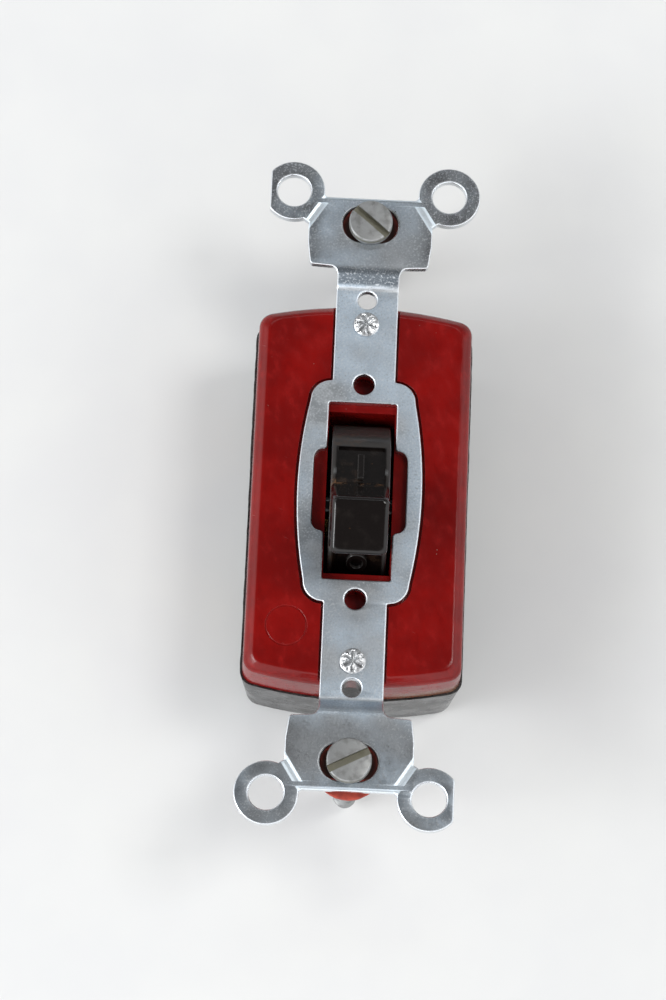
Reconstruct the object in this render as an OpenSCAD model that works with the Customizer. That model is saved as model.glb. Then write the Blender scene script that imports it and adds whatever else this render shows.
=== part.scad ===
// Single-pole wall toggle switch on a stepped steel mounting strap.
// +Z points out of the wall, +Y up the wall (ON end), and the back of the base rests on Z = 0.

/* [Strap] */
// Overall length of the strap over its four ears
strap_len = 102.8; // [101:0.1:104]
// Distance between the two box mounting slots
box_spacing = 83.34; // [83:0.01:83.7]
// Distance between the two wall-plate screw holes
plate_spacing = 60.33; // [60:0.01:60.6]
// Thickness of the strap steel
strap_t = 1.3; // [1:0.05:1.4]
// Height of the ear plates above the neck
ear_rise = 2; // [1.6:0.1:2.4]
// Width of the neck that lies over the housing
neck_w = 9.4; // [9:0.1:9.8]
// Width of the oval frame around the lever
oval_w = 18.6; // [18:0.1:19]
// Width of the lever window
window_w = 10.24; // [10.2:0.02:10.4]
// Length of the lever window
window_l = 27.56; // [27:0.02:28]

/* [Housing] */
// Height of the strap's neck above the back of the base
body_h = 24.5; // [23.5:0.1:26]
// Width of the cover
body_w = 32.2; // [31.5:0.1:33]
// Length of the cover on its centre line
body_l = 59.2; // [58.5:0.1:60]
// Height of the joint between base and cover, which is also the lever's axis
split_z = 15.8; // [15.5:0.1:16.2]
// How far the base rim stands out past the cover
rim = 0.3; // [0.1:0.1:0.5]

/* [Toggle] */
// Lean of the lever from straight out, at ON and at OFF
throw = 23.5; // [20:0.5:24]
// Distance from the lever's axis to its end
lever_r = 23.3; // [21:0.1:25]
// Radius of the barrel that fills the window
barrel_r = 12.3; // [11.8:0.1:12.3]
// Width of the barrel
barrel_w = 8.8; // [8.4:0.1:9]

/* [Contacts] */
// Height of the contact rocker's axis
rocker_z = 6.4; // [6.3:0.05:6.6]
// Tilt of the contact rocker at ON and at OFF
rocker_tilt = 7; // [6:0.5:7]
// Distance of each terminal screw from the middle
term_y = 14.5; // [14.3:0.1:14.7]
// Height of the terminal screws
term_z = 9; // [8.5:0.1:9.5]

/* [Hidden] */
$fn = 64;
eps = 0.01;

// Levels of the strap
neck_top = body_h;
neck_low = body_h - strap_t;
ear_top = body_h + ear_rise;
ear_low = ear_top - strap_t;
bend_y = 32;
bend_shift = strap_t * tan(22.5);

// Ears: rings with a nail hole, each joined to a corner of the ear plate by a scored neck
ear_r = 4.7;
ear_hole_r = 2.62;
ear_x = 11.8;
ear_y = strap_len / 2 - ear_r;
ear_flat_x = 15.4;
score_low = [9.35, 41.7];
score_high = [6.65, 45.95];
score_w = 0.5;
score_d = 0.25;
plate_side = 9.4;

// Holes in the strap
slot_half = 4.2;
slot_r = 2.8;
coin_w = 0.45;
coin_d = 0.3;
plate_hole_r = 1.4;
rivet_y = 26.2;
rivet_r = 1.4;
fit_gap = 0.05;
guide_y = 16.7;
guide_r = 1.6;

// Oval frame: bowed sides, round shoulders, and a side slot at each side of the window
oval_bow_r = 70;
shoulder_r = 3;
shoulder_x = 4.86;
shoulder_y = 14.2;
side_slot_w = 13.9;
side_slot_l = 12.8;
side_slot_r = 1.5;

// Housing
end_bow_r = 65;
corner_r = 2.2;
face_z = neck_top - 0.3;
chamfer = 1.3;
cover_draft = 0.15;
base_draft = 0.9;
back_edge = 1;
slice = 0.02;
recess_gap = 0.4;
neck_gap = 0.3;
opening_w = 9.9;
opening_l = 25.2;
well_w = 10;
well_l = 46;
floor_z = 1.6;
plate_notch_r = 2.2;
plate_notch_z = 6;

// Trunnions on the sides of the barrel, each in a round seat shared by base and cover
trunnion_r = 2;
trunnion_x = 6.6;

// Lever and tail, measured along the lever from its axis
lever_root_t = 9.4;
lever_tip_t = 8.4;
lever_tip_w = 8.3;
tip_edge = 0.7;
wing_angle = 95;
field_start = 22;
field_end = 54;
field_w = 7.2;
field_d = 0.5;
tail_l = 6;
tail_t = 5.8;
tail_w = 6.4;
spring_bore_r = 1.75;
spring_bore_top = 10;

// Plunger and spring
plunger_r = 1.2;
plunger_reach = 8.6;
plunger_collar_r = 1.65;
plunger_collar_l = 1.2;
plunger_collar_y = 5.6;
spring_wire = 0.5;
spring_turns = 9;

// Contact rocker
rocker_w = 6.8;
rocker_t = 1;
rocker_front = 11;
rocker_back = 12.4;
rocker_pin_r = 0.8;
cheek_x = 3.85;
cheek_t = 1;
contact_u = 10.5;
contact_r = 1.6;
moving_t = 0.9;
fixed_t = 0.7;
fixed_y = 10.3;

// Terminals, in pockets in the +X side of the base
strip_t = 1;
strip_w = 6.8;
riser_y = 17;
riser_h = 7.4;
blade_x = 10.4;
blade_t = 1.2;
blade_w = 11;
blade_top = 13.6;
pocket_w = 9.2;
pocket_z = 3.2;
screw_r = 2.08;
screw_hole_r = 2.14;
screw_head_r = 3.5;
screw_head_t = 2.2;
screw_tip_x = 7;
clamp_t = 1.2;
clamp_x = blade_x + blade_t + 0.15;
clamp_w = 8.4;
clamp_h = 8;
head_x = clamp_x + clamp_t + 0.1;
wire_r = 1.3;
wire_x = blade_x + blade_t + wire_r;
wire_dy = 3.25;

// Mounting screws and their washers
box_screw_r = 1.75;
box_neck_r = 1.6;
box_neck_l = 3.55;
box_head_r = 3.3;
box_head_t = 1.7;
box_screw_l = 25.4;
driver_w = 1.1;
driver_d = 0.9;
washer_r = 5.1;
washer_t = 0.8;
washer_gap = 1;

// Repeats its children at both ends of the strap, turned by half a turn
module both_ends() {
    for (turn = [0, 180]) rotate([0, 0, turn]) children();
}

// Repeats its children on the left and on the right
module both_sides() {
    for (side = [0, 1]) mirror([side, 0, 0]) children();
}

// Slot with round ends, along X
module slot_2d(half, r) {
    square([2 * (half - r), 2 * r], center = true);
    for (side = [-1, 1]) translate([side * (half - r), 0]) circle(r);
}

// Oval frame of the strap, grown outwards by the given gap
module oval_2d(gap) {
    bow_x = oval_bow_r - oval_w / 2;
    intersection() {
        square([oval_w + 2 * gap, 2 * shoulder_y], center = true);
        translate([bow_x, 0]) circle(oval_bow_r + gap, $fn = 360);
        translate([-bow_x, 0]) circle(oval_bow_r + gap, $fn = 360);
    }
    for (sx = [-1, 1], sy = [-1, 1]) {
        translate([sx * shoulder_x, sy * shoulder_y]) circle(shoulder_r + gap);
    }
    square([2 * shoulder_x, 2 * (shoulder_y + shoulder_r + gap)], center = true);
}

// Ear plate at the +Y end, without its ears
module ear_plate_2d() {
    half = [
        [neck_w / 2, bend_y], [neck_w / 2, 33.2], [5.2, 34.3], [6.4, 34.8], [8.6, 34.95],
        [8.95, 35.3], [plate_side, 38.5], [plate_side, 41.2], score_low, score_high
    ];
    polygon(concat(half, [for (i = [len(half) - 1 : -1 : 0]) [-half[i][0], half[i][1]]]));
}

// Break-off ear at the +X, +Y corner
module ear_2d() {
    along = (score_high - score_low) / norm(score_high - score_low);
    out = [along[1], -along[0]];
    reach = 3;
    inset = 0.5;
    polygon([
        score_low - inset * out, score_low + reach * out,
        score_high + reach * out, score_high - inset * out
    ]);
    translate([ear_x, ear_y]) circle(ear_r);
}

// Flat outline of the whole strap with every hole
module strap_2d() {
    difference() {
        union() {
            square([neck_w, 2 * bend_y + 2], center = true);
            oval_2d(0);
            both_ends() {
                ear_plate_2d();
                both_sides() ear_2d();
            }
        }
        square([window_w, window_l], center = true);
        square([side_slot_w, side_slot_l - 2 * side_slot_r], center = true);
        square([side_slot_w - 2 * side_slot_r, side_slot_l], center = true);
        for (sx = [-1, 1], sy = [-1, 1]) {
            translate([sx * (side_slot_w / 2 - side_slot_r), sy * (side_slot_l / 2 - side_slot_r)])
                circle(side_slot_r);
        }
        both_ends() {
            translate([0, guide_y]) circle(guide_r);
            translate([0, rivet_y]) circle(rivet_r);
            translate([0, plate_spacing / 2]) circle(plate_hole_r);
            translate([0, box_spacing / 2]) slot_2d(slot_half, slot_r);
            both_sides() translate([ear_x, ear_y]) circle(ear_hole_r);
            translate([-ear_flat_x - ear_r, ear_y]) square(2 * ear_r, center = true);
        }
    }
}

// Side view of the strap: flat neck, sloping riser and raised ear plate at each end
module strap_side_2d() {
    rise_end = bend_y + ear_rise;
    end = strap_len / 2 + 1;
    side = [
        [bend_y, neck_top], [rise_end, ear_top], [end, ear_top],
        [end, ear_low], [rise_end + bend_shift, ear_low], [bend_y + bend_shift, neck_low]
    ];
    polygon(concat(side, [for (i = [len(side) - 1 : -1 : 0]) [-side[i][0], side[i][1]]]));
}

module mounting_strap() {
    color("silver") difference() {
        intersection() {
            linear_extrude(height = ear_top + 1) strap_2d();
            rotate([90, 0, 90]) translate([0, 0, -20]) linear_extrude(height = 40) strap_side_2d();
        }
        both_ends() {
            translate([0, box_spacing / 2, ear_top - coin_d])
                linear_extrude(height = 1) slot_2d(slot_half + coin_w, slot_r + coin_w);
            both_sides() score_cut();
        }
    }
}

// Groove across an ear's neck, where the ear breaks off
module score_cut() {
    run = score_high - score_low;
    angle = atan2(run[1], run[0]);
    translate([score_low[0], score_low[1], ear_top - score_d]) rotate([0, 0, angle])
        translate([-1, -score_w / 2, 0]) cube([norm(run) + 2, score_w, 1]);
}

// Outline of the housing: straight sides, bowed ends and round corners
module housing_2d(half_w, half_l) {
    offset(r = corner_r, $fn = 32) offset(delta = -corner_r) intersection() {
        square([2 * half_w, 2 * half_l], center = true);
        translate([0, half_l - end_bow_r]) circle(end_bow_r, $fn = 180);
        translate([0, end_bow_r - half_l]) circle(end_bow_r, $fn = 180);
    }
}

// Thin slice of the housing at a height, grown or shrunk all round
module housing_slice(z, grow) {
    translate([0, 0, z]) linear_extrude(height = slice)
        housing_2d(body_w / 2 + grow, body_l / 2 + grow);
}

// Round seats for the lever's trunnions
module trunnion_seats() {
    both_sides() translate([0, 0, split_z]) rotate([0, 90, 0])
        cylinder(r = trunnion_r + fit_gap, h = trunnion_x + 0.1);
}

// Bores for the two rivets, and the notches that clear the wall-plate screws
module end_bores(notch_low) {
    both_ends() {
        translate([0, rivet_y, -1]) cylinder(r = rivet_r, h = body_h + 2);
        translate([0, plate_spacing / 2, notch_low]) cylinder(r = plate_notch_r, h = body_h);
    }
}

module cover() {
    core_z = 20.6;
    core_x = 8.4;
    core_w = 5.4;
    core_l = 17;
    guide_depth = 2.2;
    color("darkred") difference() {
        hull() {
            housing_slice(split_z, cover_draft);
            housing_slice(face_z - chamfer, 0);
            housing_slice(face_z - slice, -chamfer);
        }
        translate([0, 0, neck_low]) linear_extrude(height = 5) {
            oval_2d(recess_gap);
            square([neck_w + 2 * neck_gap, body_l + 4], center = true);
        }
        translate([-opening_w / 2, -opening_l / 2, 0]) cube([opening_w, opening_l, body_h]);
        both_ends() translate([0, guide_y, neck_low - guide_depth])
            cylinder(r = guide_r + 0.1, h = body_h);
        end_bores(0);
        trunnion_seats();
        for (sx = [-1, 1], sy = [-1, 0, 1]) {
            translate([sx * (core_x + core_w / 2), sy * (core_l + 1.5), (core_z + split_z) / 2 - eps])
                cube([core_w, core_l, core_z - split_z + 2 * eps], center = true);
        }
    }
}

module base() {
    core_x = -14;
    core_w = 6;
    core_l = 17;
    head_seat_r = 3;
    head_seat_z = 1.4;
    color("#1c1a1b") difference() {
        hull() {
            housing_slice(split_z - slice, rim + cover_draft);
            housing_slice(back_edge, rim + cover_draft - base_draft);
            translate([0, 0, -slice / 2]) housing_slice(slice / 2, rim + cover_draft - base_draft - back_edge);
        }
        translate([-well_w / 2, -well_l / 2, floor_z]) cube([well_w, well_l, body_h]);
        end_bores(plate_notch_z);
        both_ends() translate([0, rivet_y, -1]) cylinder(r = head_seat_r, h = head_seat_z + 1);
        trunnion_seats();
        for (sy = [-1, 0, 1]) {
            translate([core_x, sy * (core_l + 1.5) - core_l / 2, 2]) cube([core_w, core_l, body_h]);
        }
        for (side = [-1, 1]) translate([0, side * term_y, 0]) terminal_pocket(side);
    }
}

// Pocket for one terminal: groove for the blade, open side for the wire, and two wire holes in the back
module terminal_pocket(side) {
    slit = 0.1;
    screw_relief_r = 2.4;
    translate([blade_x, -blade_w / 2, floor_z]) cube([blade_t, blade_w, body_h]);
    translate([blade_x, -pocket_w / 2, pocket_z]) cube([10, pocket_w, body_h]);
    translate([0, side * (riser_y - term_y + strip_t / 2) - strip_t / 2 - slit, floor_z])
        cube([blade_x + blade_t, strip_t + 2 * slit, body_h]);
    translate([screw_tip_x - 0.8, 0, term_z]) rotate([0, 90, 0]) cylinder(r = screw_relief_r, h = 5);
    for (dy = [-wire_dy, wire_dy]) translate([wire_x, dy, -1]) cylinder(r = wire_r, h = pocket_z + 2);
}

// Rivet with its flat head in the back of the base and its star-staked head on the strap
module rivet() {
    back_z = 0.4;
    back_t = 1;
    back_r = 2.8;
    staked_r = 1.85;
    staked_z = neck_top + 0.55;
    star_w = 0.45;
    star_l = 2.8;
    star_d = 0.3;
    difference() {
        rotate_extrude() polygon([
            [0, back_z], [back_r, back_z], [back_r, back_z + back_t], [rivet_r, back_z + back_t],
            [rivet_r, neck_top], [staked_r, neck_top], [staked_r, staked_z], [0, staked_z]
        ]);
        translate([0, 0, staked_z - star_d]) linear_extrude(height = 1)
            for (turn = [30, 90, 150]) rotate(turn) square([star_l, star_w], center = true);
    }
}

module rivet_top() {
    color("gainsboro") translate([0, rivet_y, 0]) rivet();
}

module rivet_bottom() {
    color("gainsboro") translate([0, -rivet_y, 0]) rotate([0, 0, 20]) rivet();
}

// Slotted 6-32 screw, head on the ear plate, with its driver slot at an angle and its neck tapered
// to the full thread below the washer
module mounting_screw(slot_angle) {
    tip_l = 0.8;
    gap = 0.05;
    edge = 0.35;
    translate([0, 0, ear_top + gap]) difference() {
        union() {
            rotate_extrude() polygon([
                [0, 0], [box_head_r, 0], [box_head_r, box_head_t - edge],
                [box_head_r - edge, box_head_t], [0, box_head_t]
            ]);
            rotate_extrude() polygon([
                [0, eps], [box_neck_r, eps], [box_screw_r, -box_neck_l],
                [box_screw_r, tip_l - box_screw_l], [box_screw_r - tip_l, -box_screw_l], [0, -box_screw_l]
            ]);
        }
        rotate([0, 0, slot_angle]) translate([-5, -driver_w / 2, box_head_t - driver_d])
            cube([10, driver_w, 2]);
    }
}

module mounting_screw_top() {
    color("lightgray") translate([0, box_spacing / 2, 0]) mounting_screw(27);
}

module mounting_screw_bottom() {
    color("lightgray") translate([0, -box_spacing / 2, 0]) mounting_screw(-40);
}

module fibre_washer() {
    translate([0, 0, ear_low - washer_gap - washer_t]) difference() {
        cylinder(r = washer_r, h = washer_t);
        translate([0, 0, -1]) cylinder(r = box_screw_r + fit_gap, h = washer_t + 2);
    }
}

module fibre_washer_top() {
    color("firebrick") translate([0, box_spacing / 2, 0]) fibre_washer();
}

module fibre_washer_bottom() {
    color("firebrick") translate([0, -box_spacing / 2, 0]) fibre_washer();
}

// Places children drawn with the lever straight along +Z, axis at the origin, at ON
module at_on() {
    translate([0, 0, split_z]) rotate([-throw, 0, 0]) children();
}

// Solid with the given side view, centred across X
module across(width) {
    rotate([90, 0, 90]) translate([0, 0, -width / 2]) linear_extrude(height = width) children();
}

// Lever that narrows to its end in both directions, with bevelled end edges
module lever() {
    root = 8;
    root_w = barrel_w - 0.1;
    intersection() {
        across(barrel_w) polygon([
            [-lever_root_t / 2, root], [lever_root_t / 2, root], [lever_root_t / 2, barrel_r],
            [lever_tip_t / 2, lever_r - tip_edge], [lever_tip_t / 2 - tip_edge, lever_r],
            [tip_edge - lever_tip_t / 2, lever_r], [-lever_tip_t / 2, lever_r - tip_edge],
            [-lever_root_t / 2, barrel_r]
        ]);
        rotate([90, 0, 0]) translate([0, 0, -10]) linear_extrude(height = 20) polygon([
            [-root_w / 2, root], [root_w / 2, root], [root_w / 2, barrel_r],
            [lever_tip_w / 2, lever_r - tip_edge], [lever_tip_w / 2 - tip_edge, lever_r],
            [tip_edge - lever_tip_w / 2, lever_r], [-lever_tip_w / 2, lever_r - tip_edge],
            [-root_w / 2, barrel_r]
        ]);
    }
}

// Sunk field for the legend on one wing of the barrel
module legend_field(side) {
    middle = (field_start + field_end) / 2;
    half_l = barrel_r * sin((field_end - field_start) / 2);
    field_z = barrel_r * cos((field_end - field_start) / 2) - field_d;
    rotate([-side * middle, 0, 0]) translate([-field_w / 2, -half_l, field_z])
        cube([field_w, 2 * half_l, 5]);
}

module toggle() {
    color("#2a211d") at_on() difference() {
        union() {
            across(barrel_w) intersection() {
                circle(barrel_r, $fn = 96);
                translate([-20, barrel_r * cos(wing_angle)]) square([40, 40]);
            }
            across(tail_w) translate([-tail_t / 2, -tail_l]) square([tail_t, tail_l + 2]);
            lever();
            rotate([0, 90, 0]) translate([0, 0, -trunnion_x]) cylinder(r = trunnion_r, h = 2 * trunnion_x);
        }
        legend_field(-1);
        legend_field(1);
        translate([0, 0, -tail_l - 1]) cylinder(r = spring_bore_r, h = tail_l + 1 + spring_bore_top);
    }
}

// Coil spring in the tail's bore, between the bore's end and the plunger's collar
module toggle_spring() {
    rings = 10;
    low = -plunger_collar_y + plunger_collar_l + spring_wire / 2;
    high = spring_bore_top - spring_wire / 2;
    coil_r = spring_bore_r - spring_wire / 2 - 0.1;
    steps = spring_turns * rings;
    sides = 6;
    path = [for (i = [0 : steps]) [
        coil_r * cos(i * 360 / rings), coil_r * sin(i * 360 / rings), low + (high - low) * i / steps
    ]];
    points = [for (i = [0 : steps], k = [0 : sides - 1]) let (
        a = i * 360 / rings,
        across_r = spring_wire / 2 * cos(k * 360 / sides),
        up = spring_wire / 2 * sin(k * 360 / sides)
    ) path[i] + [across_r * cos(a), across_r * sin(a), up]];
    walls = [for (i = [0 : steps - 1], k = [0 : sides - 1]) let (next = (k + 1) % sides) each [
        [i * sides + k, (i + 1) * sides + next, i * sides + next],
        [i * sides + k, (i + 1) * sides + k, (i + 1) * sides + next]
    ]];
    first = [for (k = [0 : sides - 1]) k];
    last = [for (k = [sides - 1 : -1 : 0]) steps * sides + k];
    color("gray") at_on() polyhedron(points, concat(walls, [first, last]));
}

module plunger() {
    guide_r = 0.9;
    guide_top = 2;
    color("goldenrod") at_on() rotate_extrude() {
        difference() {
            translate([0, plunger_r - plunger_reach]) circle(plunger_r);
            translate([-5, -15]) square([5, 30]);
            translate([0, plunger_r - plunger_reach]) square(5);
        }
        translate([0, plunger_r - plunger_reach])
            square([plunger_r, plunger_reach - plunger_r - plunger_collar_y]);
        translate([0, -plunger_collar_y]) square([plunger_collar_r, plunger_collar_l]);
        translate([0, -plunger_collar_y]) square([guide_r, guide_top]);
    }
}

// Places children drawn with the rocker level, axis at the origin, at ON
module at_closed() {
    translate([0, 0, rocker_z]) rotate([rocker_tilt, 0, 0]) children();
}

module contact_rocker() {
    cradle = [[0, 0.5], [1.6, 0.75], [3.6, 1.75], [4.4, 1.95], [5, 0.5]];
    upper = concat([for (i = [4 : -1 : 1]) [-cradle[i][0], cradle[i][1]]], cradle);
    color("peru") at_closed() {
        across(rocker_w) polygon(concat(
            [[-rocker_back, -rocker_t / 2], [-rocker_back, rocker_t / 2]],
            upper,
            [[rocker_front, rocker_t / 2], [rocker_front, -rocker_t / 2]]
        ));
        rotate([0, 90, 0]) translate([0, 0, -cheek_x - cheek_t])
            cylinder(r = rocker_pin_r, h = 2 * (cheek_x + cheek_t));
    }
}

module moving_contact() {
    color("white") at_closed() translate([0, -contact_u, -rocker_t / 2 - moving_t])
        cylinder(r = contact_r, h = moving_t);
}

// Upright blade for the terminal screw, in its pocket, and the riser that joins it to the strip
module terminal_blade(side) {
    difference() {
        union() {
            translate([blade_x, side * term_y - blade_w / 2, floor_z])
                cube([blade_t, blade_w, blade_top - floor_z]);
            translate([-strip_w / 2, side * (riser_y + strip_t / 2) - strip_t / 2, floor_z])
                cube([strip_w / 2 + blade_x + blade_t, strip_t, riser_h]);
        }
        translate([blade_x - 1, side * term_y, term_z]) rotate([0, 90, 0])
            cylinder(r = screw_hole_r, h = blade_t + 2);
    }
}

module line_terminal() {
    cheek_l = 5;
    cheek_h = 7.6;
    color("goldenrod") difference() {
        union() {
            translate([-strip_w / 2, -cheek_l / 2, floor_z])
                cube([strip_w, riser_y + strip_t + cheek_l / 2, strip_t]);
            translate([-cheek_x - cheek_t, -cheek_l / 2, floor_z])
                cube([2 * (cheek_x + cheek_t), cheek_l, strip_t]);
            both_sides() translate([cheek_x, -cheek_l / 2, floor_z])
                cube([cheek_t, cheek_l, cheek_h - floor_z]);
            terminal_blade(1);
        }
        translate([-10, 0, rocker_z]) rotate([0, 90, 0])
            cylinder(r = rocker_pin_r + fit_gap, h = 20);
    }
}

module load_terminal() {
    strip_start = 7.5;
    color("goldenrod") {
        translate([-strip_w / 2, -riser_y - strip_t, floor_z])
            cube([strip_w, riser_y + strip_t - strip_start, strip_t]);
        terminal_blade(-1);
    }
}

module fixed_contact() {
    color("white") translate([0, -fixed_y, floor_z + strip_t])
        cylinder(r = contact_r + 0.2, h = fixed_t);
}

// Brass binding-head screw along X, with its driver slot level with the strap
module terminal_screw() {
    edge = 0.5;
    tip = 0.6;
    length = head_x - screw_tip_x;
    rotate([0, 90, 0]) difference() {
        union() {
            rotate_extrude() polygon([
                [0, 0], [screw_head_r, 0], [screw_head_r, screw_head_t - edge],
                [screw_head_r - edge, screw_head_t], [0, screw_head_t]
            ]);
            rotate_extrude() polygon([
                [0, eps], [screw_r, eps], [screw_r, tip - length], [screw_r - tip, -length], [0, -length]
            ]);
        }
        translate([-driver_w / 2, -5, screw_head_t - driver_d]) cube([driver_w, 10, 2]);
    }
}

module terminal_screw_line() {
    color("gold") translate([head_x, term_y, term_z]) terminal_screw();
}

module terminal_screw_load() {
    color("gold") translate([head_x, -term_y, term_z]) terminal_screw();
}

module clamp_plate() {
    hole_r = 2.3;
    difference() {
        translate([0, -clamp_w / 2, -clamp_h / 2]) cube([clamp_t, clamp_w, clamp_h]);
        translate([-1, 0, 0]) rotate([0, 90, 0]) cylinder(r = hole_r, h = clamp_t + 2);
    }
}

module clamp_plate_line() {
    color("khaki") translate([clamp_x, term_y, term_z]) clamp_plate();
}

module clamp_plate_load() {
    color("khaki") translate([clamp_x, -term_y, term_z]) clamp_plate();
}

mounting_strap();
cover();
base();
rivet_top();
rivet_bottom();
mounting_screw_top();
mounting_screw_bottom();
fibre_washer_top();
fibre_washer_bottom();
toggle();
toggle_spring();
plunger();
contact_rocker();
moving_contact();
line_terminal();
load_terminal();
fixed_contact();
terminal_screw_line();
terminal_screw_load();
clamp_plate_line();
clamp_plate_load();
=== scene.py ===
import math
import random

import bmesh
import bpy
from mathutils import Matrix, Vector
from mathutils.geometry import tessellate_polygon


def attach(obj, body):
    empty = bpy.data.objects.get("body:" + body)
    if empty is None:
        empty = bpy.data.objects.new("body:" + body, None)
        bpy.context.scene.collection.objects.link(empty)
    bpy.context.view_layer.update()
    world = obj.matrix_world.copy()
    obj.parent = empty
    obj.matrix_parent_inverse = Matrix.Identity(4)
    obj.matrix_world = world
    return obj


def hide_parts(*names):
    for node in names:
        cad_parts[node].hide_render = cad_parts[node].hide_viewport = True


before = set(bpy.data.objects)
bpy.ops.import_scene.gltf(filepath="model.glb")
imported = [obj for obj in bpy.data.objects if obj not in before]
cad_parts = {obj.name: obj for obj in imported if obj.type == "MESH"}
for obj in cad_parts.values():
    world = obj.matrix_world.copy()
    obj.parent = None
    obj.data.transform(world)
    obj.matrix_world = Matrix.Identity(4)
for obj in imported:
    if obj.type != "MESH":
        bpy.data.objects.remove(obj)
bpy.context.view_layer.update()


# Base: the deep cup that holds the works, compression moulded from black phenolic.
# Its top rim stands a little proud of the cover, and a rough line of flash runs along it
# where the two halves of the mould met.
MM = 0.001
BASE_EDGE = 0.12
RIM_TOP = 15.78
RIM_GROW = 0.43
HALF_WIDTH = 16.1
HALF_LENGTH = 29.6
END_BOW = 65.0
CORNER = 2.2
FLASH_HEIGHT = 0.22
FLASH_PROUD = 0.09
FLASH_ROOT = 0.5
FLASH_INSET = 0.1
FLASH_RAGGED = 0.3
FLASH_STEPS = 420
BLACK_PHENOLIC = (0.011, 0.0105, 0.011, 1)
BLACK_PHENOLIC_DULL = (0.019, 0.018, 0.0175, 1)
PALE_DUST = (0.25, 0.23, 0.2, 1)
FLASH_GREY = (0.06, 0.055, 0.05, 1)


def new_finish(name, metallic=0.0, roughness=0.5, specular=0.5):
    """A new material with its node tree, its shader and the piece's own coordinates."""
    material = bpy.data.materials.new(name)
    material.use_nodes = True
    tree = material.node_tree
    shader = tree.nodes["Principled BSDF"]
    shader.inputs["Metallic"].default_value = metallic
    shader.inputs["Roughness"].default_value = roughness
    shader.inputs["Specular IOR Level"].default_value = specular
    place = tree.nodes.new("ShaderNodeTexCoord").outputs["Object"]
    return material, tree, shader, place


def mottle(tree, place, size, detail=3.0, stretch=(1, 1, 1), turn=0.0):
    """Noise with blotches about size millimetres across, drawn out along each axis by stretch."""
    mapping = tree.nodes.new("ShaderNodeMapping")
    mapping.vector_type = "TEXTURE"
    mapping.inputs["Scale"].default_value = [size * MM * s for s in stretch]
    mapping.inputs["Rotation"].default_value = (0, 0, math.radians(turn))
    tree.links.new(place, mapping.inputs["Vector"])
    noise = tree.nodes.new("ShaderNodeTexNoise")
    noise.inputs["Scale"].default_value = 1.0
    noise.inputs["Detail"].default_value = detail
    noise.inputs["Roughness"].default_value = 0.6
    tree.links.new(mapping.outputs[0], noise.inputs["Vector"])
    return noise.outputs["Fac"]


def specks(tree, place, spacing, radius, share):
    """Round specks on a grid about spacing millimetres apart, in only a share of its cells."""
    cells = tree.nodes.new("ShaderNodeTexVoronoi")
    cells.inputs["Scale"].default_value = 1 / (spacing * MM)
    tree.links.new(place, cells.inputs["Vector"])
    dot = spread(tree, cells.outputs["Distance"], radius / spacing, radius / spacing * 0.5)
    split = tree.nodes.new("ShaderNodeSeparateColor")
    tree.links.new(cells.outputs["Color"], split.inputs[0])
    chosen = spread(tree, split.outputs[0], 1 - share, 1 - share + 0.01)
    return both(tree, dot, chosen)


def spread(tree, value, low, high, to_low=0.0, to_high=1.0):
    """Maps low..high of a value to to_low..to_high with a soft start and end."""
    node = tree.nodes.new("ShaderNodeMapRange")
    node.interpolation_type = "SMOOTHSTEP"
    tree.links.new(value, node.inputs["Value"])
    limits = {"From Min": low, "From Max": high, "To Min": to_low, "To Max": to_high}
    for name, number in limits.items():
        node.inputs[name].default_value = number
    return node.outputs["Result"]


def both(tree, first, second, rule="MULTIPLY"):
    """Two values multiplied, added or otherwise joined."""
    node = tree.nodes.new("ShaderNodeMath")
    node.operation = rule
    for socket, value in zip(node.inputs, (first, second)):
        if isinstance(value, (int, float)):
            socket.default_value = value
        else:
            tree.links.new(value, socket)
    return node.outputs[0]


def tint(tree, share, under, over):
    """Colour under, going to colour over as share goes from 0 to 1."""
    node = tree.nodes.new("ShaderNodeMix")
    node.data_type = "RGBA"
    tree.links.new(share, node.inputs[0])
    for socket, colour in ((node.inputs[6], under), (node.inputs[7], over)):
        if isinstance(colour, tuple):
            socket.default_value = colour
        else:
            tree.links.new(colour, socket)
    return node.outputs[2]


def relief(tree, shader, *layers):
    """Bumps the surface by each (height, depth in millimetres) in turn."""
    normal = None
    for height, depth in layers:
        bump = tree.nodes.new("ShaderNodeBump")
        bump.inputs["Distance"].default_value = depth * MM
        tree.links.new(height, bump.inputs["Height"])
        if normal:
            tree.links.new(normal, bump.inputs["Normal"])
        normal = bump.outputs["Normal"]
    tree.links.new(normal, shader.inputs["Normal"])


def paint(tree, shader, colour=None, roughness=None):
    """Joins a colour and a roughness that vary over the piece to its shader."""
    if colour:
        tree.links.new(colour, shader.inputs["Base Color"])
    if roughness:
        tree.links.new(roughness, shader.inputs["Roughness"])


def break_edges(piece, name, width, limit):
    """Bevels every edge of a piece that is sharper than limit degrees."""
    bevel = piece.modifiers.new(name, "BEVEL")
    bevel.width = width * MM
    bevel.segments = 2
    bevel.limit_method = "ANGLE"
    bevel.angle_limit = math.radians(limit)


def dress_node(node, material, edge):
    """Gives a CAD node its finish, and breaks its sharp edges by edge millimetres."""
    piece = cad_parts[node]
    piece.data.materials.clear()
    piece.data.materials.append(material)
    weld = piece.modifiers.new("weld", "WELD")
    weld.merge_threshold = 0.002 * MM
    break_edges(piece, "broken_edges", edge, 35)


def arc(centre_x, centre_y, radius, start, end, steps):
    """Points of an arc, angles in degrees."""
    angles = [math.radians(start + (end - start) * i / steps) for i in range(steps + 1)]
    return [(centre_x + radius * math.cos(a), centre_y + radius * math.sin(a)) for a in angles]


def mirrored(points, sx, sy):
    """The points mirrored by the signs, kept in the same turning sense."""
    flipped = [(sx * x, sy * y) for x, y in points]
    return flipped if sx * sy > 0 else flipped[::-1]


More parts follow.
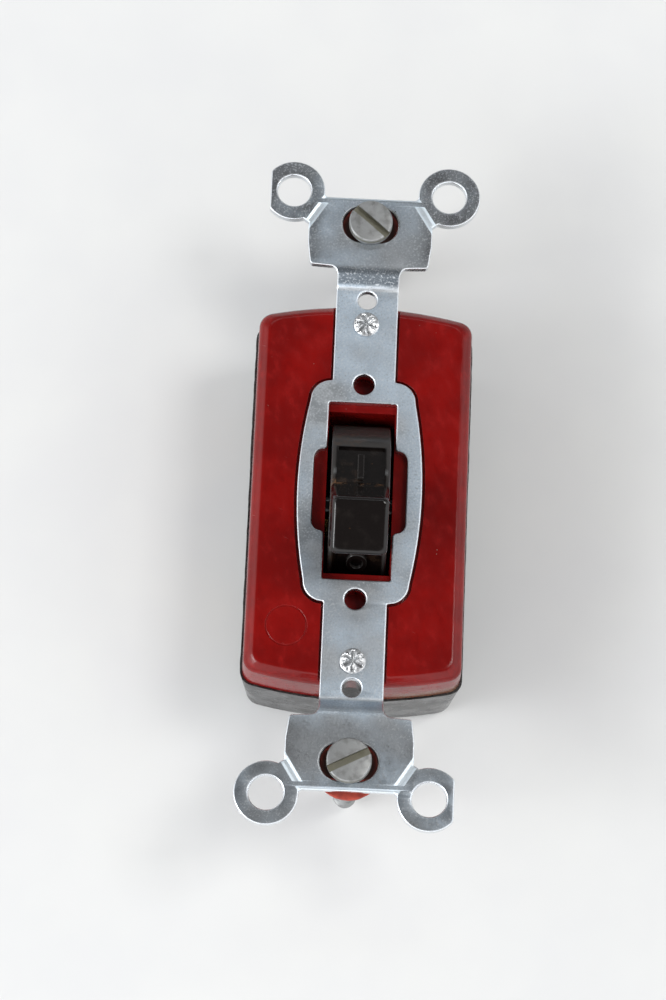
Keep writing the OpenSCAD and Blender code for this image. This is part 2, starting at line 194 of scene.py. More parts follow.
def housing_outline(half_w, half_l, corner=CORNER):
    """Outline of the housing, anticlockwise: straight sides, bowed ends and round corners."""
    bow_y = half_l - END_BOW
    corner_x = half_w - corner
    corner_y = bow_y + math.sqrt((END_BOW - corner) ** 2 - corner_x**2)
    lean = math.degrees(math.atan2(corner_y - bow_y, corner_x))
    side = [(half_w, corner_y * i / 10) for i in range(10)]
    quarter = side + arc(corner_x, corner_y, corner, 0, lean, 8)
    quarter += arc(0, bow_y, END_BOW, lean, 90, 10)[1:]
    outline = quarter + mirrored(quarter, -1, 1)[1:]
    outline += mirrored(quarter, -1, -1)[1:] + mirrored(quarter, 1, -1)[1:-1]
    return outline


def join_rings(shape, low, high):
    """Faces between two rings of equally many points."""
    for i in range(len(low)):
        j = (i + 1) % len(low)
        shape.faces.new((low[i], low[j], high[j], high[i]))


def put_in_scene(name, data):
    """A new object in the scene, made from a mesh, a camera or a lamp."""
    made = bpy.data.objects.new(name, data)
    bpy.context.scene.collection.objects.link(made)
    return made


def make_piece(name, shape, material, body, slot, *nodes, angle=30, soften=0.0):
    """Turns a bmesh in millimetres into a piece that rides on a body. Creases past angle stay sharp."""
    bmesh.ops.scale(shape, vec=(MM, MM, MM), verts=shape.verts)
    mesh = bpy.data.meshes.new(name)
    shape.to_mesh(mesh)
    shape.free()
    mesh.polygons.foreach_set("use_smooth", [True] * len(mesh.polygons))
    mesh.set_sharp_from_angle(angle=math.radians(angle))
    mesh.materials.append(material)
    piece = put_in_scene(name, mesh)
    if soften:
        break_edges(piece, "soft_edges", soften, 50)
    even = piece.modifiers.new("even_faces", "WEIGHTED_NORMAL")
    even.keep_sharp = True
    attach(piece, body)
    if nodes:
        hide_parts(*nodes)
    return piece


black_phenolic, tree, shader, place = new_finish("black_phenolic", roughness=0.3)
clouds = mottle(tree, place, 4, 4)
grit = mottle(tree, place, 0.18, 2)
dust = specks(tree, place, 0.9, 0.06, 0.25)
shade = tint(tree, spread(tree, clouds, 0.45, 0.75), BLACK_PHENOLIC, BLACK_PHENOLIC_DULL)
shade = tint(tree, dust, shade, PALE_DUST)
paint(tree, shader, shade, spread(tree, clouds, 0.3, 0.7, 0.16, 0.34))
relief(tree, shader, (clouds, 0.05), (grit, 0.006))
dress_node("base", black_phenolic, BASE_EDGE)

flash_finish, tree, shader, place = new_finish("moulding_flash", roughness=0.6)
crumbs = mottle(tree, place, 0.25, 3)
paint(tree, shader, tint(tree, spread(tree, crumbs, 0.4, 0.7), BLACK_PHENOLIC, FLASH_GREY))
relief(tree, shader, (crumbs, 0.03))

# The flash is a ragged ribbon, chipped away in places where it was filed.
chips = random.Random(7)
rim_grow = RIM_GROW - FLASH_INSET
loop = housing_outline(HALF_WIDTH + rim_grow, HALF_LENGTH + rim_grow)
lengths = [0.0]
for before, after in zip(loop, loop[1:] + loop[:1]):
    lengths.append(lengths[-1] + math.dist(before, after))
flash = bmesh.new()
proud = 0.5
ribs = []
stretch = 0
for step in range(FLASH_STEPS):
    run = lengths[-1] * step / FLASH_STEPS
    while lengths[stretch + 1] < run:
        stretch += 1
    start = Vector(loop[stretch])
    end = Vector(loop[(stretch + 1) % len(loop)])
    along = (end - start).normalized()
    point = start + along * (run - lengths[stretch])
    out = Vector((along.y, -along.x))
    proud = min(1.0, max(0.1, proud + chips.uniform(-FLASH_RAGGED, FLASH_RAGGED)))
    tip = point + out * (FLASH_INSET + FLASH_PROUD * proud)
    top = RIM_TOP + 0.02 + 0.12 * proud * chips.random()
    low = RIM_TOP - FLASH_HEIGHT * (0.4 + 0.6 * proud)
    section = (
        (point - out * FLASH_ROOT, RIM_TOP - 0.03), (point, top), (tip, top - 0.03),
        (tip, (top + low) / 2), (point + out * 0.09, low))
    ribs.append([flash.verts.new((*spot, z)) for spot, z in section])
for rib, following in zip(ribs, ribs[1:] + ribs[:1]):
    join_rings(flash, rib, following)
bmesh.ops.recalc_face_normals(flash, faces=flash.faces)
make_piece("base_flash", flash, flash_finish, "housing", "black_phenolic", angle=50)


# Works: brass strips with upright blades, a bronze rocker on a pin, silver contact buttons,
# and a brass plunger pressed by a coil spring in the lever's tail. The strips drop into
# grooves in the base, and the buttons are riveted on.
SHEET_EDGE = 0.1
PLUNGER_EDGE = 0.05
BUTTON_EDGE = 0.15
BRASS = (0.60, 0.40, 0.13, 1)
BRASS_TARNISH = (0.30, 0.17, 0.06, 1)
BRONZE = (0.62, 0.33, 0.16, 1)
BRONZE_TARNISH = (0.28, 0.13, 0.06, 1)
SILVER = (0.82, 0.80, 0.75, 1)
SILVER_TARNISH = (0.35, 0.31, 0.25, 1)
SPRING_WIRE = (0.42, 0.42, 0.43, 1)
SPRING_WIRE_DARK = (0.2, 0.19, 0.18, 1)


def sheet_metal(name, clean, tarnish, shine, painted_end_shade, along=(1, 12, 1)):
    """Rolled metal: rolling lines, tarnished patches and a few pits."""
    material, tree, shader, place = new_finish(name, metallic=1.0)
    patches = mottle(tree, place, 2.5, 5)
    lines = mottle(tree, place, 0.07, 2, along)
    pits = specks(tree, place, 0.7, 0.04, 0.3)
    colour = tint(tree, spread(tree, patches, 0.45, 0.72), clean, tarnish)
    colour = tint(tree, pits, colour, tarnish)
    rough = spread(tree, patches, 0.3, 0.7, shine, painted_end_shade)
    rough = both(tree, rough, spread(tree, lines, 0.3, 0.7, -0.04, 0.04), "ADD")
    paint(tree, shader, colour, rough)
    relief(tree, shader, (patches, 0.01), (lines, 0.004))
    return material


terminal_brass = sheet_metal("terminal_brass", BRASS, BRASS_TARNISH, 0.22, 0.45)
rocker_bronze = sheet_metal("rocker_bronze", BRONZE, BRONZE_TARNISH, 0.22, 0.45)
contact_silver = sheet_metal("contact_silver", SILVER, SILVER_TARNISH, 0.15, 0.4, (1, 1, 1))
spring_steel = sheet_metal("spring_steel", SPRING_WIRE, SPRING_WIRE_DARK, 0.2, 0.35, (1, 1, 1))
for node in ("line_terminal", "load_terminal", "clamp_plate_line", "clamp_plate_load"):
    dress_node(node, terminal_brass, SHEET_EDGE)
dress_node("plunger", terminal_brass, PLUNGER_EDGE)
dress_node("contact_rocker", rocker_bronze, SHEET_EDGE)
for node in ("moving_contact", "fixed_contact"):
    dress_node(node, contact_silver, BUTTON_EDGE)
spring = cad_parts["toggle_spring"]
spring.data.materials.clear()
spring.data.materials.append(spring_steel)


# Cover: the shallow lid, moulded from mottled red phenolic with a crisp chamfer round its face.
# The strap lies sunk in a channel along it, blind holes beside the lever take the moulding pins,
# and one ejector pin has left its ring in the face.
COVER_LOW = 15.8
COVER_FACE = 24.2
COVER_DRAFT = 0.15
CHAMFER = 1.3
CHAMFER_SOFT = 0.75
COVER_EDGE = 0.1
RECESS_FLOOR = 23.2
RECESS_GAP = 0.4
CHANNEL_HALF = 5.0
CHANNEL_REACH = 40
OPENING = (9.9, 25.2)
RIVET_Y = 26.2
PLATE_HOLE_Y = 30.165
PLATE_NOTCH = 2.2
COVER_RIVET_HOLE = 1.45
GUIDE_Y = 16.7
GUIDE_HOLE = 1.7
GUIDE_DEPTH = 2.2
EJECTOR_AT = (10.0, 21.1)
EJECTOR_RADIUS = 3.1
EJECTOR_WIDE = 0.2
EJECTOR_DEEP = 0.08
EJECTOR_LOW = 20
CUT_LOW = 10
CUT_TOP = 30
OVAL_BOW = 70.0
OVAL_HALF = 9.3
OVAL_SIDE_END = 13.8
OVAL_STEPS = 12
SHOULDER = (4.86, 14.2)
SHOULDER_RADIUS = 3.0
# Where dust lies on the ledge, and where the notches are painted in shade: none at the first distance, all of
# it at the second.
LEDGE_END = (26.5, 27.5)
LEDGE_HEIGHT = (20, 16.5)
LEDGE_SIDE = (-2, -8)
NOTCH_ACROSS = (2.7, 2.4)
NOTCH_FROM = (27.9, 28.2)
RED = (0.215, 0.0040, 0.0032, 1)
RED_DARK = (0.155, 0.0032, 0.0028, 1)
RED_BRIGHT = (0.26, 0.0055, 0.0045, 1)
DUST = (0.42, 0.33, 0.29, 1)
LEDGE_DUST = (0.20, 0.125, 0.08, 1)
NOTCH_SHADE = (0.012, 0.003, 0.003, 1)


def soft_path(points, radius, steps=4):
    """A chain of (grow, z) points with each inner corner rounded to a radius."""
    chain = [points[0]]
    for before, corner, after in zip(points, points[1:], points[2:]):
        corner = Vector(corner)
        back = Vector(before) - corner
        ahead = Vector(after) - corner
        cut = min(radius, back.length * 0.45, ahead.length * 0.45)
        start, end = corner + back.normalized() * cut, corner + ahead.normalized() * cut
        for i in range(steps + 1):
            t = i / steps
            bent = start * (1 - t) ** 2 + corner * (2 * t * (1 - t)) + end * t * t
            chain.append((bent.x, bent.y))
    return chain + [points[-1]]


def loft(rings):
    """A closed shape through rings of equally many points, with flat ends."""
    shape = bmesh.new()
    loops = [[shape.verts.new(p) for p in ring] for ring in rings]
    for low, high in zip(loops, loops[1:]):
        join_rings(shape, low, high)
    shape.faces.new(loops[0][::-1])
    shape.faces.new(loops[-1])
    return shape


def prism(outline, low, high):
    """A closed prism over an anticlockwise outline."""
    return loft([[(x, y, low) for x, y in outline], [(x, y, high) for x, y in outline]])


def circle(x, y, radius, steps=40):
    """Outline of a circle, anticlockwise."""
    return arc(x, y, radius, 0, 360, steps)[:-1]


def rectangle(half_x, half_y):
    """Outline of a rectangle about the middle, anticlockwise."""
    return [(half_x, -half_y), (half_x, half_y), (-half_x, half_y), (-half_x, -half_y)]


def carve(shape, *cutters):
    """Cuts closed shapes out of a closed shape."""
    def stand_in(part, label):
        """An object for a shape, only for as long as the cutting takes."""
        mesh = bpy.data.meshes.new(label)
        part.to_mesh(mesh)
        part.free()
        return put_in_scene(label, mesh)

    block = stand_in(shape, "block")
    tools = [stand_in(cutter, "tool") for cutter in cutters]
    for tool in tools:
        cut = block.modifiers.new("cut", "BOOLEAN")
        cut.operation = "DIFFERENCE"
        cut.solver = "EXACT"
        cut.object = tool
    finished = block.evaluated_get(bpy.context.evaluated_depsgraph_get())
    carved = bpy.data.meshes.new_from_object(finished)
    result = bmesh.new()
    result.from_mesh(carved)
    for made in [block, *tools]:
        mesh = made.data
        bpy.data.objects.remove(made)
        bpy.data.meshes.remove(mesh)
    bpy.data.meshes.remove(carved)
    return result


def oval_side(gap=0.0):
    """Bowed side of the strap's oval frame, grown by gap, from its middle to its shoulder."""
    bow_x = OVAL_HALF - OVAL_BOW
    heights = [OVAL_SIDE_END * i / OVAL_STEPS for i in range(OVAL_STEPS + 1)]
    return [(bow_x + math.sqrt((OVAL_BOW + gap) ** 2 - y**2), y) for y in heights]


def oval_outline(gap):
    """Outline of the strap's oval frame, grown by gap, anticlockwise."""
    quarter = oval_side(gap) + arc(*SHOULDER, SHOULDER_RADIUS + gap, 12, 90, 12)
    outline = quarter + mirrored(quarter, -1, 1)
    outline += mirrored(quarter, -1, -1)[1:] + mirrored(quarter, 1, -1)[:-1]
    return outline


def axes(tree, place):
    """The X, Y and Z of a place, as three values."""
    split = tree.nodes.new("ShaderNodeSeparateXYZ")
    tree.links.new(place, split.inputs[0])
    return split.outputs


def unsigned(tree, value):
    """A value without its sign, so that both ends or both sides are treated alike."""
    return both(tree, value, 0.0, "ABSOLUTE")


def fade(tree, distance, start, end, at_start=0.0, at_end=1.0):
    """A share that changes between two distances in millimetres."""
    return spread(tree, distance, start * MM, end * MM, at_start, at_end)


red_phenolic, tree, shader, place = new_finish("red_phenolic", specular=0.27)
clouds = mottle(tree, place, 9, 4)
flow = mottle(tree, place, 1.6, 5, (1, 1.8, 1), 20)
grain = mottle(tree, place, 0.16, 2)
hairlines = mottle(tree, place, 0.09, 1, (1, 30, 30), 65)
colour = tint(tree, spread(tree, clouds, 0.38, 0.66), RED_DARK, RED)
colour = tint(tree, spread(tree, flow, 0.52, 0.75, 0, 0.75), colour, RED_BRIGHT)
colour = tint(tree, spread(tree, flow, 0.42, 0.3, 0, 0.6), colour, RED_DARK)
colour = tint(tree, specks(tree, place, 1.3, 0.07, 0.22), colour, DUST)
colour = tint(tree, spread(tree, hairlines, 0.80, 0.86, 0, 0.35), colour, DUST)
x, y, z = axes(tree, place)
ledge = both(tree, fade(tree, y, *LEDGE_END), fade(tree, z, *LEDGE_HEIGHT))
ledge = both(tree, ledge, fade(tree, x, *LEDGE_SIDE))
colour = tint(tree, both(tree, ledge, spread(tree, grain, 0.40, 0.56, 0.25, 1.0)), colour, LEDGE_DUST)
# Painted shade: the walls of the notches under the strap's ends are darkened.
notch_shade = fade(tree, unsigned(tree, x), *NOTCH_ACROSS)
notch_shade = both(tree, notch_shade, fade(tree, unsigned(tree, y), *NOTCH_FROM))
colour = tint(tree, notch_shade, colour, NOTCH_SHADE)
rough = spread(tree, flow, 0.3, 0.7, 0.14, 0.26)
rough = both(tree, rough, spread(tree, hairlines, 0.74, 0.86, 0, 0.2), "ADD")
paint(tree, shader, colour, rough)
relief(tree, shader, (clouds, 0.09), (flow, 0.012), (grain, 0.004))

wall = soft_path([
    (COVER_DRAFT, COVER_LOW), (0, COVER_FACE - CHAMFER), (-CHAMFER, COVER_FACE), (-CHAMFER - 1, COVER_FACE)],
    CHAMFER_SOFT)
rings = []
for grow, z in wall:
    rings.append([(x, y, z) for x, y in housing_outline(HALF_WIDTH + grow, HALF_LENGTH + grow)])
lid = loft(rings)

# Each kind of cutter ends at its own height above the cover, so that no two share a plane.
cutters = [
    prism(oval_outline(RECESS_GAP), RECESS_FLOOR, CUT_TOP),
    prism(rectangle(CHANNEL_HALF, CHANNEL_REACH), RECESS_FLOOR, CUT_TOP + 0.1),
    prism(rectangle(OPENING[0] / 2, OPENING[1] / 2), CUT_LOW, CUT_TOP + 1)]
for end in (-1, 1):
    cutters.append(prism(circle(0, end * GUIDE_Y, GUIDE_HOLE), RECESS_FLOOR - GUIDE_DEPTH, CUT_TOP + 2))
    cutters.append(prism(circle(0, end * RIVET_Y, COVER_RIVET_HOLE), CUT_LOW, CUT_TOP + 3))
    cutters.append(prism(circle(0, end * PLATE_HOLE_Y, PLATE_NOTCH), CUT_LOW, CUT_TOP + 4))
lid = carve(lid, *cutters)
groove = carve(
    prism(circle(*EJECTOR_AT, EJECTOR_RADIUS, 64), COVER_FACE - EJECTOR_DEEP, CUT_TOP),
    prism(circle(*EJECTOR_AT, EJECTOR_RADIUS - EJECTOR_WIDE, 64), EJECTOR_LOW, CUT_TOP + 1))
lid = carve(lid, groove)
make_piece("cover_moulding", lid, red_phenolic, "housing", "red_phenolic", "cover", soften=COVER_EDGE)


# Strap: one blanking of 1.3 mm steel, barrel zinc plated. The die leaves a rolled edge on the
# upper side and a sheared one below. The ends step up in the press, the slots are coined,
# and the ears are scored so that they break off.
STRAP_THICK = 1.3
NECK_LOW = 23.2
RAMP = (32.27, 34.27)
RAMP_SOFT = 0.6
NECK_HALF = 4.7
EAR = (11.8, 46.7)
EAR_RADIUS = 4.7
EAR_HOLE = 2.52
EAR_FLAT_X = 15.4
SCORE = ((9.35, 41.7), (6.65, 45.95))
SCORE_HALF = 0.6
SCORE_RIM = 0.72
SCORE_DEPTH = 0.13
SCORE_SHINE = 0.6
SLOT_HALF = 4.2
SLOT_RADIUS = 2.8
BOX_HOLE_Y = 41.67
EAR_ARC = (-109.4, 185.5)
# Corners as (x, y, radius): the strap's edge from the oval to an ear, and a quarter of the window.
STRAP_EDGE = (
    (NECK_HALF, 17.25, 0.25), (NECK_HALF, 31, 0), (NECK_HALF, 34.75, 1.1), (8.95, 35.0, 0.6), (9.4, 38.5, 0),
    (9.4, 41.2, 0))
WINDOW = ((6.95, 6.4, 1.5), (5.12, 6.4, 0.5), (5.12, 13.78, 0.35))
STRAP_GUIDE_HOLE = 1.6
STRAP_RIVET_HOLE = 1.42
STRAP_PLATE_HOLE = 1.4
BEND_FROM = 31.5
BEND_REACH = 3.6
BEND_CUTS = 16
# Roundings of the edges, as (width, depth).
ROLLED = (0.26, 0.208)
SHEARED = (0.06, 0.06)
SLOT_COINED = (0.42, 0.34)
EAR_COINED = (0.36, 0.3)
PLATE_COINED = (0.34, 0.3)
GUIDE_COINED = (0.3, 0.22)
RIVET_COINED = (0.1, 0.1)
MITRE_LIMIT = 0.35
# Where the painted shade on the ends, ears and ramps and the painted highlight at the bends come in: none at
# the first distance, all at the second, or the shares that follow.
ENDS_FROM = (33, 37)
EARS_FROM = (6.5, 9)
EARS_SHADE_BY_Y = (10, -10, 0.3, 0.75)
RAMP_FOOT = (32.1, 32.7)
RAMP_HEAD = (35.2, 34.2)
RAMP_SHADE_BY_Y = (5, -5, 0.05, 0.9)
BEND_FOOT = (31.4, 31.8)
BEND_HEAD = (32.3, 31.95)
ZINC = (0.60, 0.63, 0.66, 1)
ZINC_DARK = (0.33, 0.35, 0.37, 1)
ZINC_BRIGHT = (0.80, 0.83, 0.86, 1)
ZINC_BLUE = (0.56, 0.65, 0.74, 1)
ZINC_END_SHADE = (0.17, 0.175, 0.185, 1)
ZINC_RAMP_SHADE = (0.10, 0.12, 0.14, 1)
ZINC_SCORE_SHEEN = (0.84, 0.92, 0.98, 1)
ZINC_STAIN = (0.20, 0.18, 0.16, 1)


def rounded(corners, steps=5):
    """A path whose (x, y, radius) corners are rounded; a radius of 0 leaves a point."""
    path = []
    count = len(corners)
    for i, (x, y, radius) in enumerate(corners):
        here = Vector((x, y))
        if radius == 0:
            path.append((x, y))
            continue
        back = (Vector(corners[i - 1][:2]) - here).normalized()
        ahead = (Vector(corners[(i + 1) % count][:2]) - here).normalized()
        half = back.angle(ahead) / 2
        middle = here + (back + ahead).normalized() * radius / math.sin(half)
        first = here + back * radius / math.tan(half) - middle
        last = here + ahead * radius / math.tan(half) - middle
        turn = first.angle_signed(last)
        for k in range(steps + 1):
            bend = -turn * k / steps
            path.append((
                middle.x + first.x * math.cos(bend) - first.y * math.sin(bend),
                middle.y + first.x * math.sin(bend) + first.y * math.cos(bend)))
    return path


def inset(path, distance):
    """The closed path moved to its left by distance."""
    moved = []
    for i, point in enumerate(path):
        here = Vector(point)
        back = (here - Vector(path[i - 1])).normalized()
        ahead = (Vector(path[(i + 1) % len(path)]) - here).normalized()
        normal = Vector((-back.y - ahead.y, back.x + ahead.x))
        scale = distance / max(MITRE_LIMIT, normal.length / 2) if normal.length else 0
        moved.append(tuple(here + normal.normalized() * min(scale, distance * 2)))
    return moved


def plate(loops, low, high):
    """A flat plate. loops is a list of (path, low edge, high edge): the outline turns anticlockwise,
    holes clockwise, and each has its own edge rounding below and above, as (width, depth)."""
    shape = bmesh.new()
    rolled = shape.verts.layers.float.new("rolled")
    caps = {low: [], high: []}
    for path, low_edge, high_edge in loops:
        levels = []
        for z, edge, sign in ((low, low_edge, 1), (high, high_edge, -1)):
            bends = [math.radians(90 * k / 4) for k in range(5)]
            steps = [(edge[0] * (1 - math.sin(b)), z + sign * edge[1] * (1 - math.cos(b)), b) for b in bends]
            levels += steps if sign == 1 else steps[::-1]
        rows = []
        for offset, z, bend in levels:
            row = [shape.verts.new((x, y, z)) for x, y in inset(path, offset)]
            for vert in row:
                vert[rolled] = math.sin(bend)
            rows.append(row)
        for under, over in zip(rows, rows[1:]):
            join_rings(shape, under, over)
        caps[low].append(rows[0])
        caps[high].append(rows[-1])
    for rows in caps.values():
        flat = [vert for row in rows for vert in row]
        for a, b, c in tessellate_polygon([[v.co for v in row] for row in rows]):
            if len({a, b, c}) == 3:
                shape.faces.new((flat[a], flat[b], flat[c]))
    bmesh.ops.recalc_face_normals(shape, faces=shape.faces)
    return shape


def hole(path):
    """A hole's path, turned clockwise."""
    return path[::-1]


def marked(tree, layer):
    """The share that a piece's mesh carries in a layer of its own, point by point."""
    node = tree.nodes.new("ShaderNodeAttribute")
    node.attribute_name = layer
    return node.outputs["Fac"]


def strap_quarter(flat):
    """Right edge of the strap's +Y half, from the oval's side to the top edge. Two ears are cut flat."""
    side = oval_side() + arc(*SHOULDER, SHOULDER_RADIUS, 12, 84, 12)
    lead = rounded([(*side[-1], 0), *STRAP_EDGE])[1:]
    ring = arc(*EAR, EAR_RADIUS, *EAR_ARC, 60)
    if flat:
        ring = [(min(x, EAR_FLAT_X), y) for x, y in ring]
        flush = [x == EAR_FLAT_X for x, y in ring]
        ring = [p for i, p in enumerate(ring) if not (flush[i - 1] and flush[i] and flush[i + 1 - len(ring)])]
    return side + lead + [SCORE[0]] + ring + [SCORE[1]]


def height_at(y):
    """Height of the strap's middle plane above the neck's, at a distance along it."""
    def area(u):
        """Area under the ramp's slope, which is 0 before it, rises along it, and stays level after it."""
        low, high = RAMP
        if u <= low:
            return 0.0
        if u <= high:
            return (u - low) ** 2 / 2
        return (high - low) ** 2 / 2 + (high - low) * (u - high)
    y = abs(y)
    return (area(y + RAMP_SOFT) - area(y - RAMP_SOFT)) / (2 * RAMP_SOFT)


def press_bends(shape):
    """Steps the ends of the flat blank up."""
    for end in (-1, 1):
        for i in range(BEND_CUTS + 1):
            y = end * (BEND_FROM + BEND_REACH * i / BEND_CUTS)
            geom = shape.verts[:] + shape.edges[:] + shape.faces[:]
            bmesh.ops.bisect_plane(shape, geom=geom, plane_co=(0, y, 0), plane_no=(0, 1, 0))
    step = 0.01
    middle = STRAP_THICK / 2
    for vert in shape.verts:
        y = vert.co.y
        slope = (height_at(y + step) - height_at(y - step)) / (2 * step)
        long = math.hypot(1, slope)
        above = vert.co.z - middle
        vert.co.y = y - above * slope / long
        vert.co.z = NECK_LOW + middle + height_at(y) + above / long


def score_ears(shape):
    """Presses a V groove across each ear's neck."""
    # The grooves are also marked for a painted sheen: a share of 0.6 in their floors and 1 at their rims.
    scored = shape.verts.layers.float.new("scored")
    for sx, sy in ((1, 1), (-1, 1), (-1, -1), (1, -1)):
        first, last = [Vector((sx * x, sy * y, 0)) for x, y in SCORE]
        across = Vector((last.y - first.y, first.x - last.x, 0)).normalized()
        for offset in (-SCORE_RIM, -SCORE_HALF, -SCORE_HALF * 0.35, SCORE_HALF * 0.35, SCORE_HALF, SCORE_RIM):
            near = []
            for face in shape.faces:
                middle = face.calc_center_median()
                if sx * middle.x > 5 and sy * middle.y > 36:
                    near.append(face)
            geom = list({e for f in near for e in f.edges}) + list({v for f in near for v in f.verts}) + near
            bmesh.ops.bisect_plane(shape, geom=geom, plane_co=first + across * offset, plane_no=across)
        for vert in shape.verts:
            reach = (vert.co - first).dot((last - first).normalized())
            away = abs((Vector((vert.co.x, vert.co.y, 0)) - first).dot(across))
            if not -1.5 < reach < (last - first).length + 1.5 or vert.co.z < STRAP_THICK / 2:
                continue
            if away < SCORE_HALF * 0.4:
                vert.co.z -= SCORE_DEPTH
                vert[scored] = SCORE_SHINE
            elif away < SCORE_HALF * 1.05:
                vert[scored] = 1.0


zinc, tree, shader, place = new_finish("zinc_plate", metallic=1.0)
patches = mottle(tree, place, 3.2, 5)
spangle = mottle(tree, place, 0.3, 3)
fine = mottle(tree, place, 0.13, 2)
drift = mottle(tree, place, 14, 2)
rub = mottle(tree, place, 0.07, 1, (1, 26, 26), 84)
rim_glint = marked(tree, "rolled")
score_sheen = marked(tree, "scored")
colour = tint(tree, spread(tree, patches, 0.38, 0.66), ZINC_DARK, ZINC)
colour = tint(tree, spread(tree, drift, 0.40, 0.62, 0, 0.9), colour, ZINC_BLUE)
x, y, z = axes(tree, place)
along = unsigned(tree, y)
at_ends = fade(tree, along, *ENDS_FROM)
on_ears = both(tree, at_ends, fade(tree, unsigned(tree, x), *EARS_FROM))
on_ears = both(tree, on_ears, fade(tree, y, *EARS_SHADE_BY_Y))
# Painted shade: the ends are darkened a little and the ears more, most at the -Y end, broken up by the
# patches.
painted_end_shade = both(tree, both(tree, at_ends, 0.25), on_ears, "ADD")
colour = tint(tree, both(tree, painted_end_shade, spread(tree, patches, 0.35, 0.62, 0.6, 1.0)), colour, ZINC_END_SHADE)
# Painted shade on the ramps, darker towards the -Y end.
painted_ramp_shade = both(tree, fade(tree, along, *RAMP_FOOT), fade(tree, along, *RAMP_HEAD))
painted_ramp_shade = both(tree, painted_ramp_shade, fade(tree, y, *RAMP_SHADE_BY_Y))
colour = tint(tree, painted_ramp_shade, colour, ZINC_RAMP_SHADE)
# Painted highlight: a bright line along the foot of each bend.
painted_bend_highlight = both(tree, fade(tree, along, *BEND_FOOT), fade(tree, along, *BEND_HEAD))
colour = tint(tree, both(tree, painted_bend_highlight, 0.8), colour, ZINC_BRIGHT)
colour = tint(tree, spread(tree, spangle, 0.50, 0.68, 0, 0.55), colour, ZINC_BRIGHT)
colour = tint(tree, spread(tree, spangle, 0.44, 0.30, 0, 0.6), colour, ZINC_DARK)
colour = tint(tree, specks(tree, place, 1.1, 0.09, 0.2), colour, ZINC_STAIN)
colour = tint(tree, spread(tree, rub, 0.76, 0.84, 0, 0.7), colour, ZINC_BRIGHT)
colour = tint(tree, spread(tree, rim_glint, 0.15, 0.8), colour, ZINC_BRIGHT)
# Painted highlight and sheen on the score grooves, brightest at their rims.
colour = tint(tree, spread(tree, score_sheen, 0.05, 0.95), colour, ZINC_SCORE_SHEEN)
rough = spread(tree, patches, 0.3, 0.7, 0.52, 0.40)
rough = both(tree, rough, spread(tree, spangle, 0.3, 0.7, 0.06, -0.06), "ADD")
rough = both(tree, rough, spread(tree, rim_glint, 0.2, 0.9, 1.0, 0.62))
rough = both(tree, rough, both(tree, at_ends, -0.08), "ADD")
rough = both(tree, rough, both(tree, score_sheen, 0.16), "ADD")
paint(tree, shader, colour, rough)
relief(tree, shader, (patches, 0.02), (spangle, 0.010), (fine, 0.004))

top_right = strap_quarter(False)
top_left = mirrored(strap_quarter(True), -1, 1)
top_half = top_right + top_left[:-1]
outline = top_half + [(-x, -y) for x, y in top_half]
half_window = list(WINDOW) + [(-x, y, corner) for x, y, corner in WINDOW[::-1]]
window = rounded(half_window + [(-x, -y, corner) for x, y, corner in half_window])
loops = [(outline, SHEARED, ROLLED), (hole(window), SHEARED, ROLLED)]
for end in (-1, 1):
    slot = arc(SLOT_HALF - SLOT_RADIUS, end * BOX_HOLE_Y, SLOT_RADIUS, -90, 90, 20)
    slot += arc(SLOT_RADIUS - SLOT_HALF, end * BOX_HOLE_Y, SLOT_RADIUS, 90, 270, 20)
    loops.append((hole(slot), SHEARED, SLOT_COINED))
    loops.append((hole(circle(0, end * GUIDE_Y, STRAP_GUIDE_HOLE)), SHEARED, GUIDE_COINED))
    loops.append((hole(circle(0, end * RIVET_Y, STRAP_RIVET_HOLE)), SHEARED, RIVET_COINED))
    loops.append((hole(circle(0, end * PLATE_HOLE_Y, STRAP_PLATE_HOLE)), SHEARED, PLATE_COINED))
    for side in (-1, 1):
        loops.append((hole(circle(side * EAR[0], end * EAR[1], EAR_HOLE, 56)), SHEARED, EAR_COINED))
blank = plate(loops, 0.0, STRAP_THICK)
score_ears(blank)
press_bends(blank)
bmesh.ops.remove_doubles(blank, verts=blank.verts, dist=0.0005)
make_piece("strap_blanking", blank, zinc, "housing", "zinc_plated_steel", "mounting_strap", angle=10)


# Rivets: soft steel, put in from the back and spread over the strap by a punch with six blades,
# which leaves a star in the head and throws small burrs up between its rays.
RIVET_SHANK = 1.38
RIVET_HEAD = 1.9
RIVET_HEAD_HIGH = 0.62
RIVET_BACK = 2.8
RIVET_BACK_LOW = 0.42
RIVET_BACK_EDGE = (0.15, 0.13)
RIVET_BACK_HIGH = 1.38
NECK_TOP = 24.5
STAR_DEPTH = 0.4
STAR_HALF = 0.2
STAR_REACH = 1.75
BURR_AT = 0.42
BURR_WIDE = 0.12
BURR_HIGH = 0.1
PUNCH_ROUGH = 0.012
RIVET_STEEL = (0.72, 0.73, 0.74, 1)
RIVET_STEEL_DARK = (0.30, 0.30, 0.31, 1)


def lathe(profile, steps=48):
    """A turned shape about Z from (radius, z) points; a radius of 0 closes an end."""
    shape = bmesh.new()
    rows = []
    for radius, z in profile:
        if radius == 0:
            rows.append([shape.verts.new((0, 0, z))])
        else:
            rows.append([shape.verts.new((x, y, z)) for x, y in circle(0, 0, radius, steps)])
    for low, high in zip(rows, rows[1:]):
        for i in range(steps):
            j = (i + 1) % steps
            corners = [low[i % len(low)], low[j % len(low)], high[j % len(high)], high[i % len(high)]]
            corners = list(dict.fromkeys(corners))
            if len(corners) > 2:
                shape.faces.new(corners)
    bmesh.ops.recalc_face_normals(shape, faces=shape.faces)
    return shape


